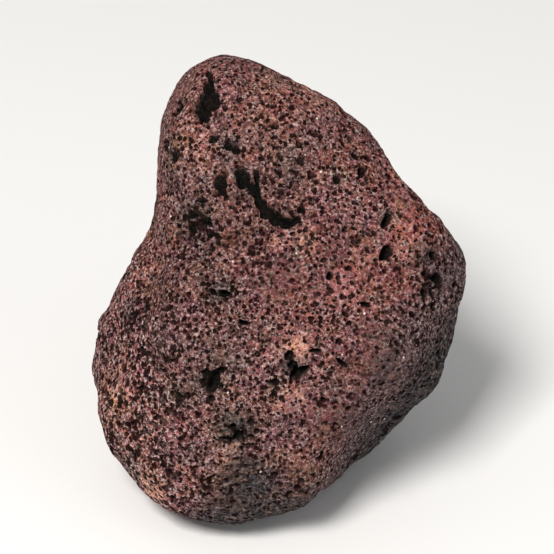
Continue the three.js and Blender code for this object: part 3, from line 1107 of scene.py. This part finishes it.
class LAVAROCK_OT_stone(bpy.types.Operator):
    """Build the stone over the CAD stone"""

    bl_idname = "lava_rock.stone"
    bl_label = "Stone"

    def execute(self, context):
        settings = context.scene.lava_rock_stone
        directions, numbers, radius, marks = stone_surface(settings)
        points = (directions * radius[:, None] + MIDDLE) * MM
        stone = add_mesh("lava_rock", points, side_quads(numbers))
        for name, values in marks.items():
            attribute = stone.data.attributes.new(name, "FLOAT", "POINT")
            attribute.data.foreach_set("value", np.ascontiguousarray(values, np.float32))
        thin = stone.modifiers.new("Thin out", "DECIMATE")
        thin.ratio = settings.triangle_limit / (2 * len(stone.data.polygons))
        thin.use_collapse_triangulate = True
        apply_modifiers(stone)
        if len(stone.data.polygons) > MOST_TRIANGLES:
            raise RuntimeError("the stone has too many triangles")
        stone.data.materials.append(scoria(context.scene.lava_rock_colours))
        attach(stone, "root")
        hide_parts("rock")
        return {"FINISHED"}


def lay_floor(settings):
    """A level square floor just under the stone."""
    half = settings.floor_size / 2
    corners = np.array(((-half, -half), (half, -half), (half, half), (-half, half)))
    points = np.column_stack((corners, np.full(4, CAD_BOX[0][2] - FLOOR_GAP)))
    floor = add_mesh("floor", points, np.array(((0, 1, 2, 3),)), smooth=False)
    floor.data.materials.append(plain_material("pale_floor", settings.floor_colour, FLOOR_ROUGHNESS))


def hang_lamp(name, lamp, aim, power):
    """A square lamp at its place from the stone's middle, turned to face it."""
    place, size, colour = lamp
    data = bpy.data.lights.new(name, "AREA")
    data.size = size
    data.energy = power
    data.color = colour
    made = bpy.data.objects.new(name, data)
    made.location = aim + Vector(place)
    made.rotation_euler = (aim - made.location).to_track_quat("-Z", "Y").to_euler()
    bpy.context.scene.collection.objects.link(made)


def light_from_all_round(strength):
    """An even white world."""
    world = bpy.data.worlds.new("studio")
    world.use_nodes = True
    backdrop = world.node_tree.nodes["Background"]
    backdrop.inputs["Color"].default_value = (1.0, 1.0, 1.0, 1.0)
    backdrop.inputs["Strength"].default_value = strength
    bpy.context.scene.world = world


def set_camera(settings, aim):
    """A camera in front of the stone, looking down at its middle."""
    data = bpy.data.cameras.new("camera")
    data.lens = settings.lens
    data.clip_start = 0.01
    camera = bpy.data.objects.new("camera", data)
    back = Vector((0, -math.cos(settings.elevation), math.sin(settings.elevation)))
    camera.location = aim + back * settings.distance
    camera.rotation_euler = (-back).to_track_quat("-Z", "Y").to_euler()
    bpy.context.scene.collection.objects.link(camera)
    bpy.context.scene.camera = camera


class LAVAROCK_OT_stage(bpy.types.Operator):
    """Lay the floor and set the lights and the camera"""

    bl_idname = "lava_rock.stage"
    bl_label = "Stage"

    def execute(self, context):
        settings = context.scene.lava_rock_stage
        low, high = (Vector(corner) for corner in CAD_BOX)
        aim = (low + high) / 2
        lay_floor(settings)
        hang_lamp("key", KEY_LAMP, aim, settings.key_power)
        hang_lamp("fill", FILL_LAMP, aim, settings.fill_power)
        light_from_all_round(settings.sky)
        set_camera(settings, aim)
        context.scene.view_settings.view_transform = "Standard"
        return {"FINISHED"}


class LAVAROCK_PT_panel(bpy.types.Panel):
    """Lists the operators and their settings"""

    bl_idname = "LAVAROCK_PT_panel"
    bl_label = "Lava Rock"
    bl_space_type = "VIEW_3D"
    bl_region_type = "UI"
    bl_category = "Lava Rock"

    def draw(self, context):
        layout = self.layout
        for operator in OPERATORS:
            layout.operator(operator.bl_idname)
        for name, group in GROUPS.items():
            for setting in group.__annotations__:
                layout.prop(getattr(context.scene, name), setting)


GROUPS = {
    "lava_rock_stone": StoneSettings,
    "lava_rock_colours": StoneColours,
    "lava_rock_stage": StageSettings,
}
OPERATORS = (LAVAROCK_OT_stone, LAVAROCK_OT_stage)
CLASSES = (*GROUPS.values(), *OPERATORS, LAVAROCK_PT_panel)


def register():
    """Registers the classes and gives each scene its settings."""
    for made in CLASSES:
        bpy.utils.register_class(made)
    for name, group in GROUPS.items():
        setattr(bpy.types.Scene, name, bpy.props.PointerProperty(type=group))


def unregister():
    """Takes the settings and the classes away again."""
    for name in GROUPS:
        delattr(bpy.types.Scene, name)
    for made in reversed(CLASSES):
        bpy.utils.unregister_class(made)


def main():
    register()
    bpy.ops.lava_rock.stone()
    bpy.ops.lava_rock.stage()


if __name__ == "__main__":
    main()
